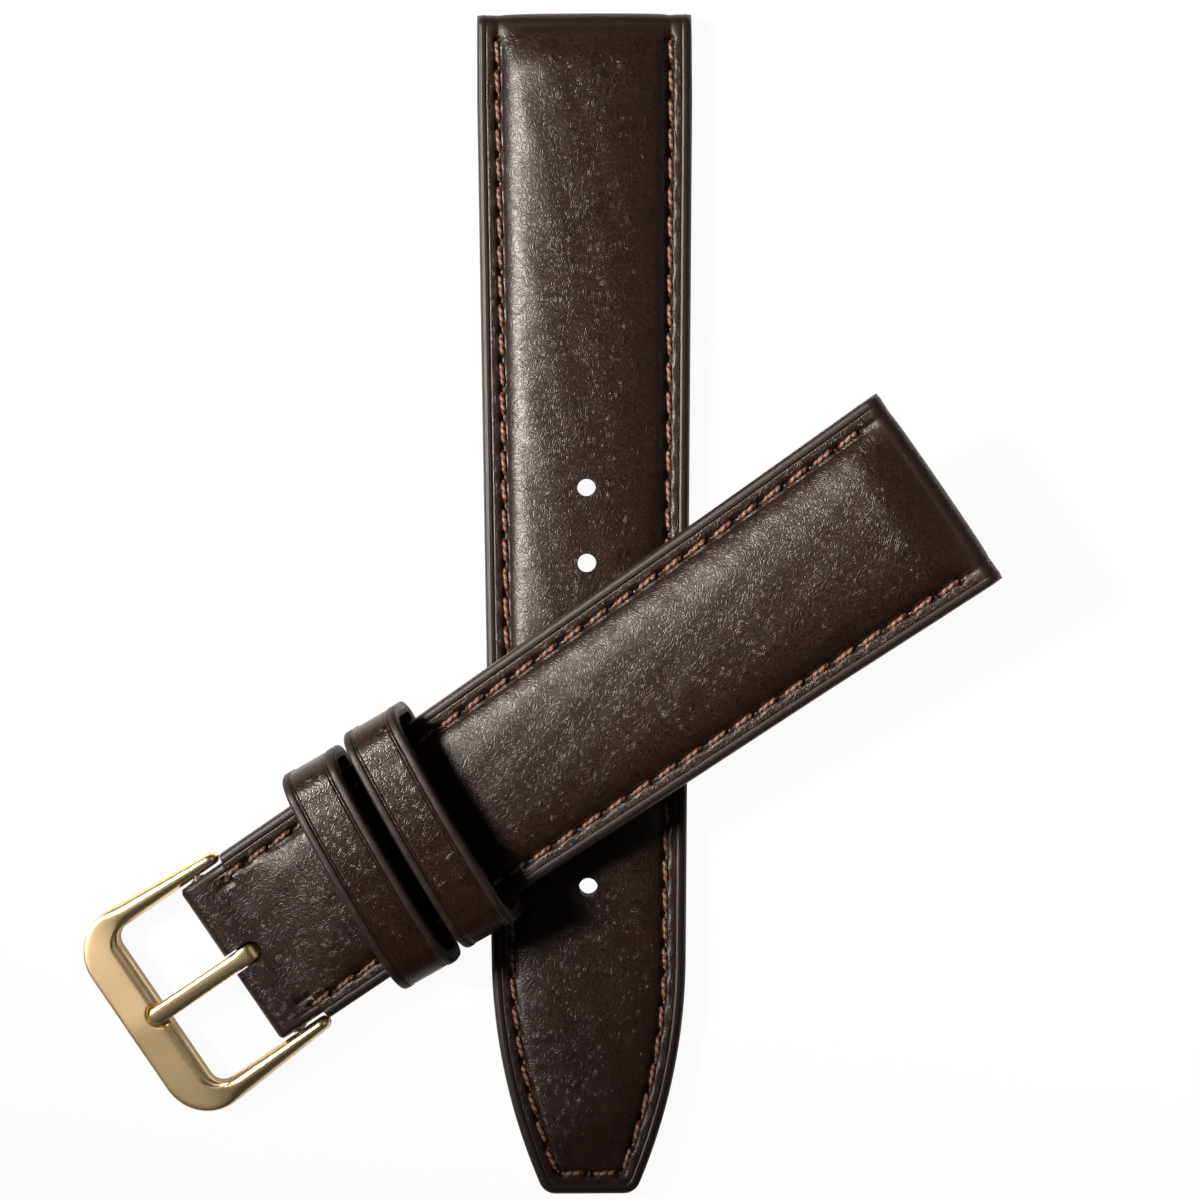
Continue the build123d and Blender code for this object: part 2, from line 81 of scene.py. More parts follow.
def place_short(points):
    """The short half's own points in the shared frame: its three axes, from where the bar's axis stands."""
    return short_origin + points @ short_axes


# Sizes that both halves share

lining_thickness = 0.9
flap_length = 6.0
edge_round = 0.5
side_bulge = 0.05
underside_round = 0.25
tunnel_radius = 0.79
line_inset, line_depth, line_width = 0.36, 0.03, 0.05
crease_inset, crease_depth, crease_width = 0.87, 0.09, 0.075
strip_drop = 0.05
stitch_inset = 1.95
stitch_pitch = 2.7
stitch_length = 2.0
groove_depth, groove_width = 0.15, 0.3
needle_hole_depth, needle_hole_radius = 0.34, 0.3
pad_inset = 2.4
pad_foot_share = 0.03
pad_power = 2.5
pad_lug_gap = 0.9
pad_lug_ramp = 4.6
# The share of edge paint laid over the lug end's roll is painted shade, darker and with little grain.
roll_reach, roll_full_reach, roll_painted_shade_share = 2.3, 1.6, 0.6
under_groove_depth, under_stitch_level = 0.12, 0.30
seam_zone = (1.2, 2.7)
needle_hole_past = 0.12
thread_half_width, thread_half_height, thread_lean = 0.225, 0.16, math.radians(5)
thread_rise, thread_dive, thread_past, thread_uv_shift = 0.11, 0.3, 0.08, 3.7
lug_line_fade, fold_line_fade = (0.4, 2.4), (0.3, 2.6)
paint_blend_in, paint_blend_out, lining_paint_width = 0.04, 0.08, 0.3
sway_fade, sway_end_gap = (1.2, 3.0), 3
flap_step, lining_step = 0.001, 0.02
cut_low, hole_cut_high, slot_cut_high = -2.0, 8.0, 6.0

# The long half

long_lug = long_length / 2
tip = -long_lug
long_lug_straight = 8.0
tail_width = 18.05
tip_curve_length = 21.7
tip_end_width = 8.5
tip_corner_radius = 1.6
long_crowns = [(-54.75, 3.1), (-33.05, 3.1), (0.0, 4.0), (47.15, 4.4), (54.75, 4.4)]
long_pad_start = tip + 2.5
long_pad_start_ramp = 5.2
hole_radius = 0.865
first_hole_from_tip, hole_pitch, last_hole_pitch, hole_count = 28.5, 7.5, 7.0, 6
long_seam_lug_gap = 2.3

# The short half

short_lug = 76.7
fold_reach = 2.05
fold_width = 16.7
fold_step = 3.2
fold_step_run = 0.2
fold_dip, fold_dip_reach, fold_dip_width = 0.1, 2.0, 1.1
short_sides = [(10.0, 9.1), (58.0, 9.63), (76.7, 10.0)]
short_crowns = [(-1.9, 3.3), (10.5, 3.3), (58.0, 4.3), (76.7, 4.3)]
short_pad_start = 4.2
short_pad_start_ramp = 5.5
short_lift = 0.06
short_seam = (2.2, 73.7)
slot_width, slot_reach, slot_cut_end = 2.0, 1.6, -4.0

# The keepers

keeper_width = 5.5
keeper_leather = 0.7
keeper_lining = 0.5
keeper_half_width = 11.2
keeper_top = 7.8
keeper_arch_rise = 1.3
keeper_top_radius = 3.2
keeper_bottom_radius = 1.6
keeper_turn = math.radians(4.3)
keeper_shift = 0.3
keeper_bead, keeper_stitch_gap = 0.32, 1.8
fixed_keeper_reach, fixed_keeper_foot = 14.7, 0.0
free_keeper_reach, free_keeper_foot = 21.6, -1.35

# The buckle

frame_front, frame_front_half, frame_corner, frame_corner_run = 13.65, 10.7, 4.5, 0.4
frame_tip, frame_tip_half, frame_opening_half, frame_inner_round = 2.9, 9.775, 8.575, 1.35
frame_thickness, frame_bar_width, frame_tip_run = 2.0, 4.0, 0.7
bar_blend = (7.6, 10.2)
notch_depth, notch_half, notch_end, notch_area = 0.5, 0.97, 10.2, -8
notch_ease_in, notch_ease_out = 0.1, 0.22
pin_hole_radius, pin_cut_in, pin_cut_out = 0.43, 0.4, 0.8
tongue_reach, tongue_half, tongue_bore, tongue_wall = 11.05, 0.85, 0.79, 0.51
tongue_root_thickness, tongue_tip_thickness, tongue_seat_gap = 1.15, 0.9, 0.05
tongue_power, tongue_droop = 3.4, 0.35
satin_reach, no_satin_reach, satin_blend = -9.65, -40.0, 1.5

# Meshes


def stack(*axes):
    """Coordinates, or what else belongs to one point, side by side along a new last axis."""
    return np.stack(axes, -1)


def chain(*parts):
    """Arrays end to end."""
    return np.concatenate(parts)


def smooth_step(value, low, high):
    """0 below low, 1 above high, and 3t squared minus 2t cubed between them."""
    t = np.clip((value - low) / (high - low), 0, 1)
    return t * t * (3 - 2 * t)


def dent(distance, width):
    """A bell of height 1: e to the minus (distance / width) squared."""
    return np.exp(-((distance / width) ** 2))


def spaced(*stops):
    """Positions along a line: each stop after the first is (place, count), with count even steps up to it."""
    places = [np.array([stops[0]], float)]
    start = stops[0]
    for stop, count in stops[1:]:
        places.append(np.linspace(start, stop, count + 1)[1:])
        start = stop
    return np.concatenate(places)


def grid_quads(rows, columns, start=0, row_wrap=False, column_wrap=False):
    """The quads of a grid whose point numbers run along its columns first, closed round where a wrap says so."""
    i, j = np.meshgrid(np.arange(rows - 1 + row_wrap), np.arange(columns - 1 + column_wrap), indexing="ij")
    here, ahead, beside = start + i * columns, start + (i + 1) % rows * columns, (j + 1) % columns
    return stack(here + j, here + beside, ahead + beside, ahead + j).reshape(-1, 4).tolist()


def tube_faces(rows, columns, start=0):
    """The faces of a tube, closed flat at both ends."""
    ends = start + np.array([[0], [(rows - 1) * columns]]) + np.arange(columns)
    return grid_quads(rows, columns, start, column_wrap=True) + ends.tolist()


def new_mesh(name, points, faces):
    """A mesh from points in millimetres."""
    mesh = bpy.data.meshes.new(name)
    mesh.from_pydata((points * MM).tolist(), [], faces)
    return mesh


def clean_mesh(mesh):
    """Welds doubled points, drops what has collapsed and turns all faces outwards."""
    shape = bmesh.new()
    shape.from_mesh(mesh)
    bmesh.ops.remove_doubles(shape, verts=shape.verts, dist=weld_distance)
    bmesh.ops.dissolve_degenerate(shape, edges=shape.edges, dist=weld_distance)
    bmesh.ops.delete(shape, geom=[v for v in shape.verts if not v.link_faces], context="VERTS")
    bmesh.ops.recalc_face_normals(shape, faces=shape.faces)
    shape.to_mesh(mesh)
    shape.free()


def finish_mesh(mesh, material, sharp):
    """Gives a mesh its material and smooth shading, with edges over the given angle left sharp."""
    mesh.materials.clear()
    mesh.materials.append(material)
    mesh.shade_smooth()
    mesh.set_sharp_from_angle(angle=math.radians(sharp))


def link(name, data):
    """A new object that holds the data, in the scene."""
    made = bpy.data.objects.new(name, data)
    bpy.context.scene.collection.objects.link(made)
    return made


def make_piece(name, points, faces, material, body, replaced, slot, paint=None, uv=None, sharp=40.0):
    """Puts points in millimetres and their faces into a closed mesh, attaches it to its body and hides the part that it
    replaces.
    """
    mesh = new_mesh(name, points, faces)
    if paint is not None:
        mesh.attributes.new("edge_paint", "FLOAT", "POINT").data.foreach_set("value", paint.astype(np.float32))
    if uv is not None:
        corners = np.empty(len(mesh.loops), np.int32)
        mesh.loops.foreach_get("vertex_index", corners)
        mesh.uv_layers.new(name="along").data.foreach_set("uv", uv[corners].astype(np.float32).ravel())
    clean_mesh(mesh)
    piece = link(name, mesh)
    finish_mesh(mesh, material, sharp)
    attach(piece, body)
    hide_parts(replaced)
    return piece


def cut_away(piece, cutters, material, sharp=40.0):
    """Takes closed prisms out of a piece. Each cutter is (profile, low, high): profile points run round it."""
    points, faces = np.empty((0, 3)), []
    for profile, low, high in cutters:
        faces += tube_faces(2, len(profile), len(points))
        points = chain(points, profile + low, profile + high)
    mesh = new_mesh("cutter", points, faces)
    clean_mesh(mesh)
    cutter = link("cutter", mesh)
    cut = piece.modifiers.new("cut", "BOOLEAN")
    cut.operation, cut.solver, cut.object, cut.use_self = "DIFFERENCE", "EXACT", cutter, False
    bpy.context.view_layer.update()
    dressed = piece.evaluated_get(bpy.context.evaluated_depsgraph_get())
    made = bpy.data.meshes.new_from_object(dressed)
    piece.modifiers.clear()
    piece.data = made
    bpy.data.objects.remove(cutter)
    made.name = piece.name
    finish_mesh(made, material, sharp)


# Materials


def linear(colour):
    """An sRGB hex colour as linear red, green, blue and alpha."""
    channels = [int(colour[i:i + 2], 16) / 255 for i in (1, 3, 5)]
    return [c / 12.92 if c <= 0.04045 else ((c + 0.055) / 1.055) ** 2.4 for c in channels] + [1.0]


def fill(node, inputs):
    """Sets a node's inputs to values, or links them to sockets. A node stands for its first output in use."""
    for key, value in inputs.items():
        if isinstance(value, bpy.types.Node):
            value = next(socket for socket in value.outputs if socket.enabled)
        if isinstance(value, bpy.types.NodeSocket):
            node.id_data.links.new(value, node.inputs[key])
        else:
            node.inputs[key].default_value = value
    return node


def add(tree, kind, inputs=None, **settings):
    """Adds one node: settings are its properties, and inputs are what fill takes."""
    made = tree.nodes.new("ShaderNode" + kind)
    for key, value in settings.items():
        setattr(made, key, value)
    return fill(made, inputs or {})


def new_material(name):
    """A material whose tree holds a principled shader and an output, with the function that adds to that tree."""
    material = bpy.data.materials.new(name)
    material.use_nodes = True
    material.node_tree.nodes.clear()
    put = partial(add, material.node_tree)
    shader = put("BsdfPrincipled")
    put("OutputMaterial", {"Surface": shader})
    return material, put, shader


def in_millimetres(put):
    """The object's own coordinates in millimetres, so that a pattern's scale is its count per millimetre."""
    place = put("TexCoord").outputs["Object"]
    return put("VectorMath", {0: place, "Scale": 1 / MM}, operation="SCALE")


def calf_leather(name, grain_depth, shine):
    """Chrome-tanned calf, plated and aniline finished: wormy ridges 0.3 mm apart, and a smooth painted edge.

    The ridges are level lines of a slow noise, the sine of 2 pi 11 times it, so that they wander side by side as
    a real grain's do. Their bump catches small lights over a near-black brown, and the colour is painted lighter on
    the ridges and darker between them, a painted highlight and painted shade of the relief. Where the mesh's paint
    attribute says so, the grain ends and the edge dye shows, which is darker and evener; over the lug end's roll a
    share of that paint is painted shade.
    """
    material, put, shader = new_material(name)
    place = in_millimetres(put)
    slow = put("TexNoise", {"Vector": place, "Scale": 1.0, "Detail": 1.5, "Roughness": 0.4})
    turns = put("Math", {0: slow, 1: 11 * 2 * math.pi}, operation="MULTIPLY")
    wave = put("Math", {0: turns}, operation="SINE")
    ridges = put("MapRange", {"Value": wave, "From Min": -0.9, "From Max": 0.9}, interpolation_type="SMOOTHSTEP")
    pores = put("TexNoise", {"Vector": place, "Scale": 5.0, "Detail": 2.0, "Roughness": 0.6})
    patches = put("TexNoise", {"Vector": place, "Scale": 0.22, "Detail": 3.0})
    height = put("Math", {0: pores, 1: 0.12, 2: ridges}, operation="MULTIPLY_ADD")
    paint = put("Attribute", attribute_name="edge_paint").outputs["Fac"]
    bare = put("Math", {0: 1.0, 1: paint}, operation="SUBTRACT", use_clamp=True)
    strength = put("MapRange", {"Value": bare, "To Min": 0.12, "To Max": 1.0})
    bump = put("Bump", {"Height": height, "Strength": strength, "Distance": grain_depth * MM})
    dye = put("Mix", {"Factor": patches, "A": linear("#180c07"), "B": linear("#21120b")}, data_type="RGBA")
    # Painted highlight and painted shade: the dye is scaled by 1.5 on the ridges and by 0.3 between them.
    shade = put("MapRange", {"Value": ridges, "To Min": 0.3, "To Max": 1.5})
    grained = put("VectorMath", {0: dye, "Scale": shade}, operation="SCALE")
    colour = put("Mix", {"Factor": paint, "A": grained, "B": linear("#160c08")}, data_type="RGBA")
    gloss = put(
        "MapRange",
        {"Value": pores, "From Min": 0.3, "From Max": 0.7, "To Min": 0.43 - shine, "To Max": 0.49 - shine},
    )
    finish = put("Mix", {"Factor": paint, "A": gloss, "B": 0.48}, data_type="FLOAT")
    fill(shader, {"Base Color": colour, "Roughness": finish, "Normal": bump, "IOR": 1.38})
    return material


def lining_leather():
    """Vegetable-tanned lining leather, buffed: matt, a little lighter than the calf, with short fibres."""
    material, put, shader = new_material("lining_leather_buffed")
    place = in_millimetres(put)
    fibre = put("TexNoise", {"Vector": place, "Scale": 5.0, "Detail": 5.0, "Roughness": 0.65})
    patches = put("TexNoise", {"Vector": place, "Scale": 0.3, "Detail": 2.0})
    blend = put("Math", {0: fibre, 1: 0.6, 2: patches}, operation="MULTIPLY_ADD")
    share = put("MapRange", {"Value": blend, "From Min": 0.55, "From Max": 1.05})
    colour = put("Mix", {"Factor": share, "A": linear("#2c1f18"), "B": linear("#443227")}, data_type="RGBA")
    paint = put("Attribute", attribute_name="edge_paint").outputs["Fac"]
    edged = put("Mix", {"Factor": paint, "A": colour, "B": linear("#1c1513")}, data_type="RGBA")
    bump = put("Bump", {"Height": fibre, "Strength": 0.6, "Distance": 0.03 * MM})
    fill(shader, {"Base Color": edged, "Normal": bump, "Roughness": 0.7, "Specular IOR Level": 0.3})
    return material


def twisted_thread():
    """Bonded polyester sewing thread, three strands twisted and waxed: slanting strands with painted shade between
    them.

    The first UV coordinate is millimetres along the stitch and the second is turns round it. A strand passes every
    0.8 mm, a little coarser than such thread has, so that it shows.
    """
    material, put, shader = new_material("twisted_polyester_thread")
    parts = put("SeparateXYZ", {"Vector": put("UVMap", uv_map="along")})
    run = put("Math", {0: parts.outputs["X"], 1: 1 / 0.8}, operation="MULTIPLY")
    slant = put("Math", {0: parts.outputs["Y"], 1: 1.0, 2: run}, operation="MULTIPLY_ADD")
    turns = put("Math", {0: slant, 1: 2 * math.pi}, operation="MULTIPLY")
    wave = put("Math", {0: turns}, operation="SINE")
    strand = put("MapRange", {"Value": wave, "From Min": -1.0, "From Max": 0.4})
    fuzz = put("TexNoise", {"Vector": in_millimetres(put), "Scale": 6.0, "Detail": 3.0})
    # Painted shade: between the strands the colour goes down to near black, #180d08.
    colour = put("Mix", {"Factor": strand, "A": linear("#180d08"), "B": linear("#8a6450")}, data_type="RGBA")
    uneven = put("Mix", {"Factor": fuzz, "A": colour, "B": linear("#43271b")}, data_type="RGBA")
    bump = put("Bump", {"Height": strand, "Strength": 0.9, "Distance": 0.07 * MM})
    fill(shader, {"Base Color": uneven, "Normal": bump, "Roughness": 0.5, "Specular IOR Level": 0.4})
    return material


def plated_gold(name, reach_of_satin):
    """Pale gold plate on brass, polished, with a satin finish on the upward faces of the front bar.

    The polished edges mirror the room in long light and dark lines. The satin face spreads it into an even tan.
    """
    material, put, shader = new_material(name)
    place = in_millimetres(put)
    brushed = put("TexNoise", {"Vector": place, "Scale": 9.0, "Detail": 2.0})
    offset = put("VectorMath", {0: place, 1: short_origin.tolist()}, operation="SUBTRACT")
    reach = put("VectorMath", {0: offset, 1: along_short.tolist()}, operation="DOT_PRODUCT")
    normal = put("TexCoord").outputs["Normal"]
    facing = put("VectorMath", {0: normal, 1: above_short.tolist()}, operation="DOT_PRODUCT")
    low, high = reach_of_satin - satin_blend, reach_of_satin + satin_blend
    front = put("MapRange", {"Value": reach, "From Min": high, "From Max": low})
    level = put("MapRange", {"Value": facing, "From Min": 0.9, "From Max": 0.98})
    satin = put("Math", {0: front, 1: level}, operation="MULTIPLY")
    rough = put("Mix", {"Factor": satin, "A": 0.27, "B": 0.38}, data_type="FLOAT")
    strength = put("Math", {0: satin, 1: 0.25}, operation="MULTIPLY")
    bump = put("Bump", {"Height": brushed, "Strength": strength, "Distance": 0.01 * MM})
    fill(shader, {"Roughness": rough, "Normal": bump, "Base Color": linear("#f3d8a8"), "Metallic": 1.0})
    return material


def turned_steel():
    """Stainless steel, turned: fine rings round the bar that spread the light across it."""
    material, put, shader = new_material("turned_stainless_steel")
    rings = put("TexNoise", {"Vector": in_millimetres(put), "Scale": 12.0, "Detail": 2.0})
    rough = put("MapRange", {"Value": rings, "To Min": 0.22, "To Max": 0.38})
    fill(shader, {"Roughness": rough, "Base Color": linear("#b9b7b2"), "Metallic": 1.0})
    return material


def pressed_fibre():
    """Bonded leather fibre board, pressed: a dull brown felt for the pad and the strip inside the leather."""
    material, put, shader = new_material("pressed_leather_fibre")
    fibre = put("TexNoise", {"Vector": in_millimetres(put), "Scale": 4.0, "Detail": 5.0})
    colour = put("Mix", {"Factor": fibre, "A": linear("#4a392c"), "B": linear("#7a6350")}, data_type="RGBA")
    bump = put("Bump", {"Height": fibre, "Strength": 0.7, "Distance": 0.05 * MM})
    fill(shader, {"Base Color": colour, "Normal": bump, "Roughness": 0.9})
    return material


leather = calf_leather("calf_leather_grained", 0.012, 0.06)
keeper_calf = calf_leather("calf_leather_grained_fine", 0.008, 0.15)
lining = lining_leather()
thread = twisted_thread()
gold = plated_gold("pale_gold_plate", satin_reach)
tongue_gold = plated_gold("pale_gold_plate_polished", no_satin_reach)
steel = turned_steel()
fibre_board = pressed_fibre()


# Outlines of the two halves

side_slope = (lug_width - tail_width) / 2 / (long_lug - long_lug_straight - tip - tip_curve_length)
side_scale = math.sqrt(1 + side_slope ** 2)
tip_shoulder = tip + tip_curve_length
tip_drop = (tail_width - tip_end_width) / 2
tip_radius = ((tip_curve_length ** 2 + tip_drop ** 2) * side_scale / (2 * (tip_drop - side_slope * tip_curve_length)))
arc_x = tip_shoulder + tip_radius * side_slope / side_scale
arc_y = tail_width / 2 - tip_radius / side_scale
corner_x = tip + tip_corner_radius
corner_y = arc_y + math.sqrt((tip_radius - tip_corner_radius) ** 2 - (corner_x - arc_x) ** 2)
corner_way = np.array([corner_x - arc_x, corner_y - arc_y]) / (tip_radius - tip_corner_radius)


def long_taper(x):
    """Half width of the long half along its tapered sides and its straight end."""
    return tail_width / 2 + (np.minimum(x, long_lug - long_lug_straight) - tip_shoulder) * side_slope


def long_width(x):
    """Half width of the long half: straight, tapered, then the tip's large arc and the corner's small one."""
    arc = arc_y + np.sqrt(np.clip(tip_radius ** 2 - (x - arc_x) ** 2, 0, None))
    corner = corner_y + np.sqrt(np.clip(tip_corner_radius ** 2 - (x - corner_x) ** 2, 0, None))
    touch = corner_x + tip_corner_radius * corner_way[0]
    return np.where(x > tip_shoulder, long_taper(x), np.where(x > touch, arc, corner))


def long_depth(x, y):
    """Distance in from the long half's edge: to its side line or arc, its end line, or the corner's arc."""
    y = np.abs(y)
    beside = (long_taper(x) - y) / side_scale
    side = np.where(x > tip_shoulder, beside, tip_radius - np.hypot(x - arc_x, y - arc_y))
    across = (x - corner_x) * corner_way[1] - (y - corner_y) * corner_way[0]
    in_corner = (x < corner_x) & (y > corner_y) & (across < 0)
    corner = tip_corner_radius - np.hypot(x - corner_x, y - corner_y)
    return np.maximum(np.where(in_corner, corner, np.minimum(side, x - tip)), 0)


def short_width(x):
    """Half width of the short half: straight between its stations, and stepped in beside the buckle's arms."""
    full = np.interp(x, *zip(*short_sides))
    return full - (full - fold_width / 2) * (1 - smooth_step(x, fold_step - fold_step_run, fold_step))


def short_depth(x, y):
    """Distance in from the short half's side."""
    return np.maximum(short_width(x) - np.abs(y), 0)


# Seams


def seam_spots(line, count):
    """Stitches as (x, y, turn) at even steps of length along a line of points."""
    steps = np.hypot(*np.diff(line, axis=0).T)
    reach = chain([0], np.cumsum(steps))
    middles = (np.arange(count) + 0.5) / count * reach[-1]
    x, y = (np.interp(middles, reach, line[:, k]) for k in (0, 1))
    ahead = [np.interp(middles + s, reach, line[:, k]) for s in (-0.3, 0.3) for k in (0, 1)]
    return stack(x, y, np.arctan2(ahead[3] - ahead[1], ahead[2] - ahead[0]))


def long_seam():
    """The long half's stitches: a row down each side, at one depth in from the edge, and a short row at the tip."""
    x = np.linspace(long_lug - long_seam_lug_gap, tip + stitch_inset, 400)
    curved = arc_y + np.sqrt(np.clip((tip_radius - stitch_inset) ** 2 - (x - arc_x) ** 2, 0, None))
    y = np.where(x > tip_shoulder, long_taper(x) - stitch_inset * side_scale, curved)
    side = stack(x, y)
    length = np.hypot(*np.diff(side, axis=0).T).sum()
    right = seam_spots(side, round(length / stitch_pitch))
    end = np.array([[tip + stitch_inset, -y[-1]], [tip + stitch_inset, y[-1]]])
    return chain(right, right * [1, -1, -1], seam_spots(end, 2))


def short_seam_spots():
    """The short half's stitches, a row down each side."""
    x = np.linspace(short_seam[1], short_seam[0], 200)
    side = stack(x, np.interp(x, *zip(*short_sides)) - stitch_inset)
    right = seam_spots(side, round((short_seam[1] - short_seam[0]) / stitch_pitch))
    return chain(right, right * [1, -1, -1])


def needle_holes(spots):
    """Both ends of each stitch, where the thread goes down."""
    step = (stitch_length / 2 + needle_hole_past) * stack(np.cos(spots[:, 2]), np.sin(spots[:, 2]))
    return chain(spots[:, :2] - step, spots[:, :2] + step)


def hole_dents(x, y, holes, inset):
    """How far each point lies inside a needle hole's dent, worked out only in the seam's zone."""
    shown = (inset > seam_zone[0]) & (inset < seam_zone[1])
    dents = np.zeros(x.shape)
    near = stack(x[shown], y[shown])
    distance = np.full(len(near), np.inf)
    for part in np.array_split(holes, 8):
        distance = np.minimum(distance, np.hypot(*(near[:, None] - part[None]).transpose(2, 0, 1)).min(1))
    dents[shown] = dent(distance, needle_hole_radius)
    return dents


def make_stitches(half, side, spots, level, over, passed):
    """Stitches as flattened tubes that rise out of one needle hole and go down into the next.

    Along a stitch t runs from -1 to 1. The middle of the thread stands at level + over * (rise - dive t^6), and its
    half width and half height both shrink by the square root of 1 - 0.75 t^8. Each stitch leans off the seam.
    """
    rings, sides, count = 8, 8, len(spots)
    t = np.linspace(-1, 1, rings)[None, :, None]
    turn = (np.arange(sides) / sides * 2 * np.pi)[None, None, :]
    spot_x, spot_y, angle = spots.T[:, :, None, None]
    angle = angle + thread_lean
    fade = np.sqrt(1 - 0.75 * t ** 8)
    out = thread_half_width * fade * np.cos(turn)
    reach = (stitch_length / 2 + thread_past) * t
    x = spot_x + reach * np.cos(angle) - out * np.sin(angle)
    y = spot_y + reach * np.sin(angle) + out * np.cos(angle)
    z = level + over * (thread_rise - thread_dive * t ** 6 + thread_half_height * fade * np.sin(turn)) + 0 * x
    shift = (np.arange(count) * rings * sides)[:, None, None]
    tube = np.array(grid_quads(rings, sides, column_wrap=True)).reshape(rings - 1, 1, sides, 4)
    ring = np.arange(sides)
    ends = np.stack([ring[::-1], ring + (rings - 1) * sides])
    faces = (tube + shift).reshape(-1, 4).tolist() + (ends[None] + shift).reshape(-1, sides).tolist()
    along = reach + thread_uv_shift * np.arange(count)[:, None, None] + 0 * turn
    make_piece(
        f"{half.name}_{side}_stitches", half.place(stack(x, y, z)).reshape(-1, 3), faces, thread,
        f"{half.name}_half", f"{half.name}_{passed}_thread", "thread",
        uv=stack(along, turn / (2 * np.pi) + 0 * x).reshape(-1, 2), sharp=180.0,
    )


def sew(half, spots, below, level):
    """The needle's stitches on top and the bobbin's below, where level is the height of the underside."""
    make_stitches(half, "top", spots, edge_height - strip_drop - groove_depth, 1, "needle")
    make_stitches(half, "under", below, under_stitch_level + level, -1, "bobbin")


# Leather of the halves


def edge_drop(depth, worked):
    """How far the top lies below its full height near the edge.

    The painted edge is a quarter round. Then come a fine line, the crease that ends the paint, a strip a little
    lower, and the shallow trough that the stitches draw down. worked is 1, and 0 where those lines end.
    """
    inside = np.clip(edge_round - depth, 0, edge_round)
    bead = edge_round - np.sqrt(edge_round ** 2 - inside ** 2)
    line = line_depth * dent(depth - line_inset, line_width)
    crease = crease_depth * dent(depth - crease_inset, crease_width)
    strip = strip_drop * smooth_step(depth, crease_inset, crease_inset + 0.15)
    return bead + worked * (line + crease + strip + groove_depth * dent(depth - stitch_inset, groove_width))


def pad_share(depth, width):
    """The pad's height across the strap, from 0 at its foot to 1 at the middle: the root of 1 - (1 - q)^2.5."""
    q = np.clip((depth - pad_inset) / np.maximum(width - pad_inset, pad_inset / 4), 0, 1)
    q = q * q / (q + pad_foot_share)
    return np.sqrt(np.clip(1 - np.clip(1 - q, 0, 1) ** pad_power, 0, 1))


def end_share(reach, ramp):
    """The pad's height near an end: the sine of a quarter turn over the ramp, eased at its foot."""
    t = np.clip(reach / ramp, 0, 1)
    return np.sin(t * math.pi / 2) ** 1.3


def sway(x, y):
    """Slow unevenness of the leather, up to 0.04 mm: three sines across each other."""
    return 0.016 * (
        np.sin(0.9 * x + 1.3 * np.sin(0.7 * y)) + np.sin(1.7 * y - 0.5 * x + 2) + 0.6 * np.sin(2.3 * x + 1.1 * y)
    )


column_depths = spaced(0, (0.5, 7), (1.1, 11), (1.5, 4), (2.4, 10), (3.6, 11))
middle_columns = 20


def across_columns(width):
    """Y of the grid's columns for each row's half width: set depths in from both edges, even between them."""
    width = width[:, None]
    scale = np.minimum(1, 0.8 * width / column_depths[-1])
    outer = width - column_depths[None] * scale
    share = 1 - np.arange(1, middle_columns + 1)[None] / middle_columns
    half = np.concatenate([outer, outer[:, -1:] * share], 1)
    return np.concatenate([half, -half[:, -2::-1]], 1)


def closed_shell(top, lower, joined, nosed):
    """Faces of a shell: a fine top grid, a coarser lower grid beside it, and the ends.

    joined gives, for each lower column, the top column that it meets where an end is a nose. nosed says for the
    first and last row whether the two grids meet there in a line. An end that is no nose is closed flat.
    """
    rows, columns = top.shape[:2]
    count = lower.shape[1]
    start = rows * columns
    first, last = int(nosed[0]), rows - 1 - int(nosed[1])
    faces = grid_quads(rows, columns) + grid_quads(last - first + 1, count, start + first * count)
    for row in range(first, last):
        left, near = row * columns, start + row * count
        right = left + columns - 1
        faces.append([right, near, near + count, right + columns])
        faces.append([near + count - 1, left, left + columns, near + 2 * count - 1])
    for is_nose, row, line in ((nosed[0], first, 0), (nosed[1], last, rows - 1)):
        near, edge, line = start + row * count, row * columns, line * columns
        if is_nose:
            for m in range(count - 1):
                fine = [line + k for k in range(joined[m], joined[m + 1] - 1, -1)]
                faces.append([near + m + 1, near + m] + fine)
            faces.append([line + columns - 1, edge + columns - 1, near])
            faces.append([line, edge, near + count - 1])
        else:
            faces.append([line + k for k in range(columns)] + [near + k for k in range(count)])
    return faces


# What a half's pieces share: its name, its place in the frame, functions of its shape, and its needle holes
Half = namedtuple("Half", "name place width depth pad underside holes")


def make_shell(half, layer, top, lower, joined, nosed, paints, material, node, slot, cutters):
    """One leather of a half, from its two grids and the paint each has: edge paint, and painted shade over the lug
    end's roll.
    """
    piece = make_piece(
        f"{half.name}_{layer}_leather", half.place(chain(top.reshape(-1, 3), lower.reshape(-1, 3))),
        closed_shell(top, lower, joined, nosed), material, f"{half.name}_half", f"{half.name}_{node}", slot,
        paint=np.concatenate([paint.ravel() for paint in paints]),
    )
    if cutters:
        cut_away(piece, cutters, material)
    return piece


